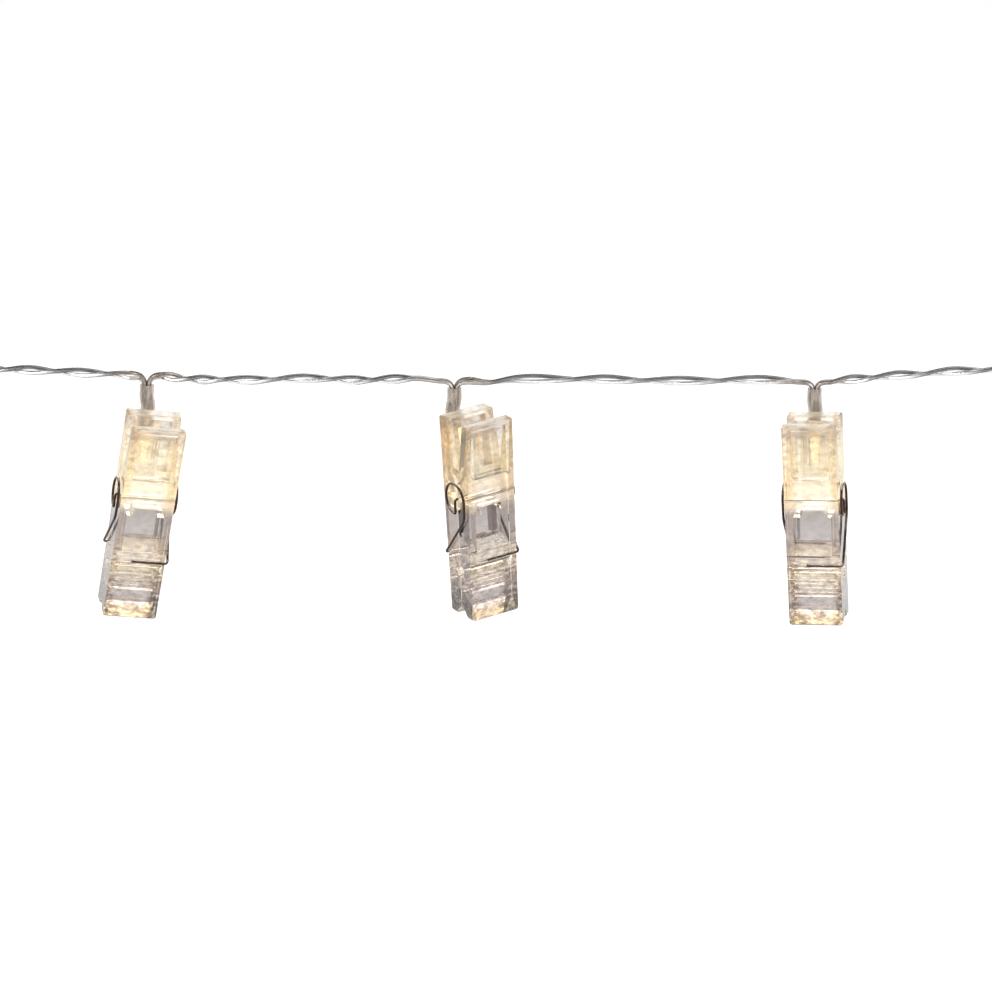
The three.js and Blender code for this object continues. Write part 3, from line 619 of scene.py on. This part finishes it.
def tilt_frame(number):
    """The frame of the bend in the sleeve, turned as the clip is."""
    place = CLIPS[number]
    bend = Matrix.Translation((place["shift"] * MM, 0, -place["drop"] * MM))
    turn = [math.radians(angle) for angle in place["turn"]]
    # turns that the solids make in the order XYZ are ZYX here
    return hanging_frame(number) @ bend @ Euler(turn, "ZYX").to_matrix().to_4x4()


def body_frame(number):
    """The clip's own frame, which lies on its pivot axis."""
    down = Matrix.Translation((-COLUMN_SHIFT, -COLUMN_DEPTH, -COLUMN_TOP - SLEEVE_STRAIGHT))
    return tilt_frame(number) @ down


def clip_place(shader, number):
    """The place on a clip in the clip's own frame."""
    inverse = body_frame(number).inverted()
    inputs = {
        "Vector": shader.coordinates("Object"),
        "Location": inverse.translation,
        "Rotation": inverse.to_euler(),
    }
    return shader.node("ShaderNodeMapping", inputs, vector_type="POINT").outputs["Vector"]


# Spring, in millimetres from the pivot axis
SPRING_RADIUS = 0.325
SPRING_SIDES = 14
SPRING_PLANE = 7.375
SPRING_DROP = 4.5
SPRING_BEND = 0.9
SPRING_STARTS = {"rear": 5.97, "front": -6.0}
LOOP_RADIUS = 4.1
LOOP_ANGLES = (30, 275)
LOOP_STEPS = 54
BEND_STEPS = 10
ARM_HEIGHT = -16
ARM_REACH = 1.75
TIP_LENGTH = 32
HANDLE_LENGTH = 20.5
TIP_DEPTH = 4.8
HANDLE_DEPTHS = {"rear": 6.7, "front": 5.8}


def arm_depth(half):
    """How deep the spring's arm lies, on the sloping outer face of its half."""
    share = (ARM_HEIGHT + TIP_LENGTH) / (TIP_LENGTH + HANDLE_LENGTH)
    return TIP_DEPTH + (HANDLE_DEPTHS[half] - TIP_DEPTH) * share + SPRING_RADIUS / 2


def rounded_corners(corners, radii):
    """A line through the first and last corners that cuts the others short by their radii."""
    result = [corners[0]]
    for before, corner, after, radius in zip(corners, corners[1:], corners[2:], radii):
        if not radius:
            result.append(corner)
            continue
        start = corner + (before - corner).normalized() * radius
        end = corner + (after - corner).normalized() * radius
        for index in range(BEND_STEPS + 1):
            share = index / BEND_STEPS
            result.append(start.lerp(corner, share).lerp(corner.lerp(end, share), share))
    return [*result, corners[-1]]


def spring_line(half):
    """The wire of one half from its place on the bar, round the loop and along the arm."""
    loop = []
    for index in range(LOOP_STEPS + 1):
        share = index / LOOP_STEPS
        angle = math.radians(LOOP_ANGLES[0] + (LOOP_ANGLES[1] - LOOP_ANGLES[0]) * share)
        loop.append(Vector((-SPRING_PLANE, LOOP_RADIUS * math.sin(angle), -LOOP_RADIUS * math.cos(angle))))
    depth = arm_depth(half)
    corners = [
        Vector((SPRING_STARTS[half], 0, 0)),
        Vector((-SPRING_PLANE, 0, 0)),
        Vector((-SPRING_PLANE, 0, -LOOP_RADIUS)),
        *loop,
        Vector((-SPRING_PLANE, loop[-1].y, -SPRING_DROP)),
        Vector((-SPRING_PLANE, depth, ARM_HEIGHT)),
        Vector((ARM_REACH, depth, ARM_HEIGHT)),
    ]
    radii = [SPRING_BEND, SPRING_BEND, *[0] * len(loop), 2 * SPRING_BEND, SPRING_BEND]
    return rounded_corners(corners, radii)


def spring(number, half, body):
    matrix = body_frame(number) @ Matrix.Rotation(math.pi if half == "front" else 0, 4, "Z")
    line = [matrix @ (point * MM) for point in spring_line(half)]
    name = f"clip_{number}_wire_spring_{half}"
    made = tube_object(name, [line], SPRING_RADIUS * MM, SPRING_SIDES, spring_steel)
    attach(made, body)
    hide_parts(f"clip_{number}_spring_{half}")


# Sleeve and the wires in it, in millimetres; they are lit with painted light and a painted glow where they
# are down in the light column, and the sleeve has a faint painted glow above it
LIT_BELOW = 16.6
DARK_ABOVE = 18.2
LIT_SLEEVE = (0.97, 0.91, 0.8)
LIT_GLOW = 0.35
SLEEVE_GLOW = 0.03
SLEEVE_RADIUS = 1.9
SLEEVE_WALL = 0.4
SLEEVE_SIDES = 32
SLEEVE_LOW = 11.6
STREAK_STRETCH = (1.0, 1.0, 0.1)
STREAK_SHADE = 0.4
WIRES_LOW = 13.4
WIRE_PACKING = 0.53

# The sleeve's shrinking, its drawn-in end and its waves' height and rate, as shares of its radius and length
SLEEVE_SHRINKING = 0.03
SLEEVE_DRAWN_IN = 0.04
DRAWN_IN_END = 0.14
LONG_WAVES = (0.012, 46)
SHORT_WAVES = (0.008, 97)

# A tail's way from the sleeve's top to the cord: along in millimetres, and the share of the top's drop
TAIL_ROUTE = [(0.62, 0.75), (1.15, 0.36), (2.1, 0.09), (3.2, 0.02), (CORD_START / MM, 0)]
TAIL_THINNING = 3
TAIL_FREE = 6


def sleeve_middle(number, low):
    """The sleeve's middle line from a height in the light column up to its top."""
    tilt = tilt_frame(number)
    bend = tilt.translation
    up = tilt.to_3x3() @ Vector((0, 0, 1))
    buried = low * MM - COLUMN_TOP - SLEEVE_STRAIGHT
    top = hanging_frame(number) @ Vector((0, 0, -CLIPS[number]["sleeve_top"] * MM))
    upper = Vector((top.x, top.y, (top.z + bend.z) / 2))
    return catmull_rom([bend + up * buried, bend + up * (buried / 2), bend, upper, top], STEP)


def light_up(shader, number, color, glow_above=0.0):
    """Gives a material its colour, with painted light: pale and bright with a painted glow where it is down
    in the light column.
    """
    height = shader.axis(clip_place(shader, number), "Z")
    share = shader.share(height, LIT_BELOW * MM, DARK_ABOVE * MM)
    shader.put(Base_Color=shader.mix(shader.fade(share, 1.0, 0.0), color, LIT_SLEEVE),
               Emission_Color=LAMP_COLOR,
               Emission_Strength=shader.fade(share, LIT_GLOW, glow_above))
    return shader.material


def sleeve_material(number):
    """Clear shrunk plastic with streaks along it."""
    shader = Shader(f"clip_{number}_sleeve", Roughness=0.1, IOR=CLEAR_IOR, Transmission_Weight=0.75)
    streaks = shader.noise(*SLEEVE_STREAKS, shader.scaled_place(clip_place(shader, number), STREAK_STRETCH))
    color = shader.fade(streaks, scaled(SLEEVE_COLOR, STREAK_SHADE), SLEEVE_COLOR, *STREAK_EDGES)
    return light_up(shader, number, color, SLEEVE_GLOW)


def tail_material(number, kind, colors, values):
    shader, color = wire_shader(f"clip_{number}_{kind}", colors, colors, values)
    return light_up(shader, number, color)


def sleeve_waves(number, share):
    long_height, long_rate = LONG_WAVES
    short_height, short_rate = SHORT_WAVES
    return long_height * math.sin(long_rate * share + number) + short_height * math.sin(short_rate * share)


def shrunk_sleeve(number):
    def radius(share):
        drawn_in = SLEEVE_DRAWN_IN * max(share - (1 - DRAWN_IN_END), 0) / DRAWN_IN_END
        return SLEEVE_RADIUS * MM * (1 - SLEEVE_SHRINKING - drawn_in + sleeve_waves(number, share))

    made = tube_object(f"clip_{number}_shrunk_sleeve", [sleeve_middle(number, SLEEVE_LOW)], radius,
                       SLEEVE_SIDES, sleeve_material(number), SLEEVE_WALL * MM)
    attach(made, f"clip_{number}")
    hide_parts(f"clip_{number}_sleeve")


def tail_line(number, side):
    """The middle line of one side's pair of wires, from the light's leads up and out to the cord."""
    hanging = hanging_frame(number)
    shift = Vector((side * WIRE_PACKING * MM, 0, 0))
    inner = [point + shift for point in sleeve_middle(number, WIRES_LOW)]
    top = -CLIPS[number]["sleeve_top"]
    outer = [hanging @ (Vector((side * along, 0, share * top)) * MM) for along, share in TAIL_ROUTE]
    return catmull_rom([*inner[:-2:TAIL_THINNING], *outer], STEP / 2)


def tails(number, side, materials):
    """Adds one side's pair of wires, which bends between the cord and the clip, and returns its skin."""
    line = tail_line(number, side)
    if side < 0:
        line.reverse()
    lengths = lengths_along(line)
    end_angle, end_spread = end_angles[number, side]
    # inside the sleeve the two wires lie one behind the other
    inside = math.pi * round(end_angle / math.pi - 0.5) + math.pi / 2
    angles, spreads = [], []
    for length in lengths:
        from_cord = length if side < 0 else lengths[-1] - length
        share = smooth(min(from_cord / (TAIL_FREE * MM), 1))
        angles.append(end_angle + (inside - end_angle) * share)
        spreads.append(end_spread + (WIRE_PACKING * MM - end_spread) * share)
    name = f"clip_{number}_tail_" + ("left" if side < 0 else "right")
    skin, core = pair_objects(name, strand_lines(line, angles, spreads), angles, materials)
    for made in (skin, core):
        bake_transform(made)
    return skin


# Light, in millimetres above the pivot axis
LAMP_TIP = 6.3
LAMP_RADIUS = 1.5
LAMP_FLANGE_RADIUS = 1.8
LAMP_FLANGE = 1.0
LAMP_LENGTH = 5.0
LAMP_SIDES = 28
DOME_STEPS = 8
LEAD_RADIUS = 0.25
LEAD_SIDES = 10
LEAD_SPACING = 1.27
LEAD_LENGTH = 1.8
LEAD_STEPS = 4
LEAD_GAP = 0.02


def lamp(number):
    column = body_frame(number) @ Matrix.Translation((COLUMN_SHIFT, COLUMN_DEPTH, 0)) @ Matrix.Scale(MM, 4)
    flange_top = LAMP_TIP + LAMP_LENGTH
    profile = []
    for index in range(DOME_STEPS + 1):
        angle = math.pi / 2 * index / DOME_STEPS
        profile.append((LAMP_RADIUS * math.sin(angle), LAMP_TIP + LAMP_RADIUS * (1 - math.cos(angle))))
    profile += [
        (LAMP_RADIUS, flange_top - LAMP_FLANGE),
        (LAMP_FLANGE_RADIUS, flange_top - LAMP_FLANGE),
        (LAMP_FLANGE_RADIUS, flange_top),
        (0, flange_top),
    ]
    lens = lathe(f"clip_{number}_lamp_lens", profile, LAMP_SIDES, column, lamp_lens)
    heights = [flange_top + LEAD_GAP + LEAD_LENGTH * index / LEAD_STEPS for index in range(LEAD_STEPS + 1)]
    lines = [
        [column @ Vector((side * LEAD_SPACING / 2, 0, height)) for height in heights]
        for side in (-1, 1)
    ]
    leads = tube_object(f"clip_{number}_lamp_leads", lines, LEAD_RADIUS * MM, LEAD_SIDES, contact_metal)
    for made in (lens, leads):
        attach(made, f"clip_{number}")
    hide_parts(f"clip_{number}_led")
    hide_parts(f"clip_{number}_led")


# Clear plastic lit from the light, with the light painted in: its tables give values by the height above the
# pivot axis, and its tints and glows are painted warm light, painted glow and painted shade
LOW_HEIGHT = -TIP_LENGTH
HIGH_HEIGHT = HANDLE_LENGTH
LOOKS = {
    "plastic": {
        "tints": [
            (-32, (0.7, 0.63, 0.5)), (-29, (0.62, 0.57, 0.49)), (-28, (0.68, 0.65, 0.65)),
            (-25.4, (0.68, 0.65, 0.65)), (-24.8, (0.71, 0.67, 0.64)), (-21.4, (0.71, 0.67, 0.64)),
            (-20.6, (0.84, 0.78, 0.69)), (-18.2, (0.84, 0.78, 0.68)), (-16.5, (0.85, 0.81, 0.77)),
            (-15, (0.83, 0.79, 0.74)), (-13.8, (0.79, 0.73, 0.68)), (-12.6, (0.76, 0.71, 0.65)),
            (-11.8, (0.61, 0.55, 0.51)), (-11, (0.69, 0.66, 0.65)), (-3.5, (0.63, 0.6, 0.58)),
            (-2, (0.88, 0.82, 0.75)), (3.5, (0.9, 0.84, 0.75)), (7, (0.88, 0.84, 0.74)),
            (14, (0.87, 0.83, 0.74)), (17, (0.77, 0.72, 0.66)), (19, (0.78, 0.72, 0.66)),
            (20.5, (0.9, 0.82, 0.7)),
        ],
        "glow": [
            (-32, 0.01), (-28.5, 0.0), (-21, 0.01), (-19.5, 0.04), (-17, 0.03), (-14, 0.01), (-9, 0.0),
            (-3.5, 0.0), (-2, 0.13), (3, 0.15), (5, 0.1), (12, 0.08), (17, 0.02), (20.5, 0.03),
        ],
        "clearness": [
            (-32, 0.95), (-20, 1.0), (-17, 0.95), (-13, 0.97), (-9, 1.0), (-3.5, 0.98), (-1, 0.86),
            (4, 0.86), (8, 0.9), (16, 0.94), (19.5, 0.94), (20.2, 0.5), (20.5, 0.4),
        ],
        "roughness": [(-32, 0.04), (16.4, 0.04), (17.4, 0.3), (20.5, 0.3)],
    },
    # The bevelled edges: the dark tints are painted shade along the edges, and the pale tints and glow at the
    # top are painted light
    "edges": {
        "tints": [
            (-32, (0.22, 0.17, 0.12)), (-29, (0.15, 0.13, 0.12)), (-20, (0.17, 0.14, 0.12)),
            (-12, (0.18, 0.13, 0.1)), (-3, (0.2, 0.15, 0.12)), (0, (0.34, 0.21, 0.09)),
            (5, (0.3, 0.19, 0.08)), (16, (0.27, 0.17, 0.08)), (17.6, (0.5, 0.4, 0.28)),
            (18.6, (0.9, 0.83, 0.74)), (20.5, (0.95, 0.88, 0.78)),
        ],
        "glow": [(-32, 0.0), (-3, 0.0), (0, 0.03), (17.8, 0.03), (19.4, 0.06), (20.1, 0.16), (20.5, 0.2)],
        "clearness": [(-32, 0.5), (17, 0.4), (19.5, 0.5), (20.1, 0.2), (20.5, 0.2)],
        "roughness": 0.3,
    },
}
# Each half's tint, which makes some halves a little darker or cooler, and the strength of its painted glow
HALF_LIGHT = {
    (1, "rear"): (WHITE, 1.0),
    (1, "front"): (WHITE, 1.0),
    (2, "rear"): ((0.98, 0.97, 0.97), 0.6),
    (2, "front"): ((0.97, 0.975, 1.0), 0.4),
    (3, "rear"): (WHITE, 0.9),
    (3, "front"): ((0.99, 0.99, 1.0), 0.9),
}
# Sideways faces and the borders beside the windows are darker and warmer than the rest, and more so near the
# light: painted shade, and painted warm light near the lamp; the borders also get painted glints
SIDE_SHADE_AND_WARM_LIGHT = [
    (-32, (0.6, 0.56, 0.55)), (-6, (0.66, 0.62, 0.61)), (0, (0.9, 0.78, 0.56)), (20.5, (0.9, 0.8, 0.62)),
]
SIDE_HAZE = [(-32, 0.15), (-8, 0.1), (-2, 0.05), (20.5, 0.05)]
BORDER_SHADE_AND_WARM_LIGHT = [
    (-32, (0.92, 0.9, 0.88)), (-4, (0.97, 0.93, 0.9)), (1, (0.95, 0.87, 0.72)), (20.5, (0.94, 0.87, 0.77)),
]
BORDER_START = 4.4
BORDER_END = 5.2
# Painted glints on the borders: dark and bright spots
SPARKLE_STOPS = [(0.42, (0.4, 0.36, 0.34)), (0.5, 1.0), (0.58, (1.3, 1.25, 1.15))]
SPARKLE_SHARES = [(-32, 0.9), (-18, 0.9), (-14, 0.3), (-4, 0.1), (2, 0.3), (20.5, 0.5)]
# How much the surface's waves bend the light and its painted glints and dark painted reflections show: most
# at the tips' teeth
WAVE_SHARES = [
    (-32, 0.3), (-20, 0.2), (-17, 0.08), (-9, 0.03), (-3, 0.03), (0, 0.12), (6, 0.08), (20.5, 0.08),
]
WAVE_DEPTH = 0.3 * MM
WAVE_STRENGTH = 0.5
GLINT_SPOT_SHARES = [
    (-32, 1.0), (-28.6, 0.9), (-27.8, 0.3), (-25.6, 0.3), (-24.8, 0.8), (-18, 0.6), (-15, 0.4), (-9, 0.1),
    (-3, 0.1), (0, 0.4), (6, 0.3), (20.5, 0.4),
]
GLINT_SPOT_STOPS = [(0.4, (0.45, 0.4, 0.38)), (0.5, 1.0), (0.6, (1.25, 1.18, 1.05))]
GLINT_AND_WAVE_FLATNESS = (1.0, 1.0, 1.8)
HEIGHT_REACH = 0.03


def side_share(shader, number):
    """How far the surface faces sideways in the clip, from 0 to 1, which sets the painted shade and warm
    light on sideways faces.
    """
    inputs = {"Vector": shader.coordinates("Normal"), "Rotation": body_frame(number).inverted().to_euler()}
    turned = shader.node("ShaderNodeMapping", inputs, vector_type="NORMAL").outputs["Vector"]
    return shader.fade(shader.math("ABSOLUTE", shader.axis(turned, "X")), 0.0, 1.0, *SIDE_EDGES)


def clip_plastic(number, half, kind):
    """The plastic of a clip's half, or of its bevelled edges."""
    look = LOOKS[kind]
    half_tint, half_glow = HALF_LIGHT[number, half]
    shader = Shader(f"clip_{number}_{half}_{kind}", IOR=CLEAR_IOR, Emission_Color=LAMP_COLOR)
    place = clip_place(shader, number)
    height = shader.share(shader.axis(place, "Z"), LOW_HEIGHT * MM, HIGH_HEIGHT * MM)
    height = shader.math("ADD", height, shader.wander(shader.noise(*HEIGHT_WANDER, place), HEIGHT_REACH))

    def by_height(table):
        span = HIGH_HEIGHT - LOW_HEIGHT
        return shader.ramp(height, [((level - LOW_HEIGHT) / span, value) for level, value in table])

    # painted glints and dark painted reflections in spots, by height
    flat = shader.scaled_place(place, GLINT_AND_WAVE_FLATNESS)
    glint_spots = shader.ramp(shader.noise(*GLINT_SPOTS, flat), GLINT_SPOT_STOPS)
    color = shader.mix(by_height(GLINT_SPOT_SHARES), by_height(look["tints"]), glint_spots, "MULTIPLY")

    # painted shade and warm light on the borders beside the windows, with painted glints
    across = shader.math("ABSOLUTE", shader.axis(place, "X"))
    border = shader.fade(shader.share(across, BORDER_START * MM, BORDER_END * MM), 0.0, 1.0)
    color = shader.mix(border, color, by_height(BORDER_SHADE_AND_WARM_LIGHT), "MULTIPLY")
    sparkling = shader.math("MULTIPLY", border, by_height(SPARKLE_SHARES))
    sparkle = shader.ramp(shader.noise(*SPARKLE, place), SPARKLE_STOPS)
    color = shader.mix(sparkling, color, sparkle, "MULTIPLY")

    # painted shade and warm light on sideways faces
    side = side_share(shader, number)
    color = shader.mix(side, color, by_height(SIDE_SHADE_AND_WARM_LIGHT), "MULTIPLY")
    haze = shader.math("MULTIPLY", side, by_height(SIDE_HAZE))

    roughness = look["roughness"]
    unhazy = shader.math("SUBTRACT", 1.0, haze)
    # the emission is a painted glow from the lamp, on plastic that is no lamp
    shader.put(
        Base_Color=shader.mix(1.0, color, half_tint, "MULTIPLY"),
        Transmission_Weight=shader.math("MULTIPLY", by_height(look["clearness"]), unhazy),
        Roughness=by_height(roughness) if isinstance(roughness, list) else roughness,
        Emission_Strength=by_height([(level, strength * half_glow) for level, strength in look["glow"]]),
    )
    waves = shader.math("MULTIPLY", shader.noise(*WAVES, flat), by_height(WAVE_SHARES))
    shader.bump(waves, WAVE_DEPTH, WAVE_STRENGTH)
    return shader.material


BEVEL_ANGLE = math.radians(35)
CLIP_BEVEL = 0.36 * MM
CLIP_BEVEL_SEGMENTS = 2
BOX_BEVELS = {"battery_case": 0.5 * MM, "battery_lid": 0.3 * MM, "switch_knob": 0.25 * MM}
BOX_BEVEL_SEGMENTS = 3


def bevelled(node, width, segments, edge_material=None):
    modifier = node.modifiers.new("bevel", "BEVEL")
    modifier.width = width
    modifier.segments = segments
    modifier.limit_method = "ANGLE"
    modifier.angle_limit = BEVEL_ANGLE
    if edge_material:
        node.data.materials.append(edge_material)
        modifier.material = len(node.data.materials) - 1


def dress(node_name, material):
    node = nodes[node_name]
    node.data.materials.clear()
    node.data.materials.append(material)
    return node


for number in CLIPS:
    for half, body in (("rear", f"clip_{number}"), ("front", f"clip_{number}_front")):
        jaw = dress(f"clip_{number}_{half}_jaw", clip_plastic(number, half, "plastic"))
        bevelled(jaw, CLIP_BEVEL, CLIP_BEVEL_SEGMENTS, clip_plastic(number, half, "edges"))
        spring(number, half, body)
    shrunk_sleeve(number)
    tail_materials = (
        tail_material(number, "tail_skin", WARM_SKIN_SHADE_AND_LIGHT, SKIN_VALUES),
        tail_material(number, "tail_core", WARM_CORE_SHADE_AND_LIGHT, CORE_VALUES),
    )
    left = tails(number, -1, tail_materials)
    tails(number, 1, tail_materials)
    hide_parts(f"clip_{number}_wire_tails")
    lamp(number)

# End crimp and battery box
for node_name, material in {
    "end_crimp": crimp_plastic,
    "lead_grommet": crimp_plastic,
    "battery_case": box_plastic,
    "battery_lid": box_plastic,
    "switch_knob": dark_plastic,
    "switch_body": dark_plastic,
    "timer_board": board_resin,
    "inner_wires": insulation,
}.items():
    dress(node_name, material)
for node_name in nodes:
    if node_name.startswith("contact_"):
        dress(node_name, contact_metal)
    if node_name.startswith("battery_") and node_name[-1].isdigit():
        dress(node_name, cell_skin)
for node_name, width in BOX_BEVELS.items():
    bevelled(nodes[node_name], width, BOX_BEVEL_SEGMENTS)

# Floor: pale, and white where the camera, gloss or clear plastic shows it
FLOOR_COLOR = (0.86, 0.86, 0.86)
FLOOR_GLOW = 0.5
FLOOR_HEIGHT = -0.35
FLOOR_REACH = 6
FLOOR_CORNERS = [(-1, -1), (1, -1), (1, 1), (-1, 1)]


def floor_material():
    shader = Shader("pale_floor", Base_Color=FLOOR_COLOR, Roughness=0.9, Emission_Color=WHITE)
    path = shader.node("ShaderNodeLightPath").outputs
    seen = shader.math("MAXIMUM", path["Is Camera Ray"], path["Is Glossy Ray"])
    seen = shader.math("MAXIMUM", seen, path["Is Transmission Ray"])
    shader.put(Emission_Strength=shader.math("MULTIPLY", seen, FLOOR_GLOW))
    return shader.material


corners = [Vector((FLOOR_REACH * x, FLOOR_REACH * y, FLOOR_HEIGHT)) for x, y in FLOOR_CORNERS]
floor = mesh_object("floor", corners, [(0, 1, 2, 3)], floor_material())

# Backdrop: white to the camera; gloss and clear plastic show it white low down and darker overhead
LAMP_SHARE = 0.55
OVERHEAD_SHARE = 0.3
OVERHEAD_RISE = (0.12, 0.75)

world = bpy.data.worlds.new("studio")
bpy.context.scene.world = world
world.use_nodes = True
studio = NodeTree(world.node_tree)
background = world.node_tree.nodes["Background"]
path = studio.node("ShaderNodeLightPath").outputs
rise = studio.axis(studio.coordinates("Generated"), "Z")
overhead = studio.map_range(rise, 1.0, OVERHEAD_SHARE, *OVERHEAD_RISE)
gloss = studio.math("MAXIMUM", path["Is Glossy Ray"], path["Is Transmission Ray"])
reflected = studio.map_range(gloss, LAMP_SHARE, overhead)
studio.fill(background.inputs["Strength"], studio.map_range(path["Is Camera Ray"], reflected, 1.0))
studio.fill(background.inputs["Color"], WHITE)


def area_light(name, place, size, power):
    data = bpy.data.lights.new(name, "AREA")
    data.shape = "DISK"
    data.size = size
    data.energy = power
    light = new_object(name, data)
    light.location = place
    light.rotation_euler = (Vector(place) - CAMERA_AIM).to_track_quat("Z", "Y").to_euler()


area_light("key_light", (-0.6, -1.1, 1.0), size=0.7, power=9)
area_light("fill_light", (1.1, -0.9, 0.5), size=0.8, power=4)
area_light("back_light", (0.3, 1.2, 0.8), size=0.8, power=5)
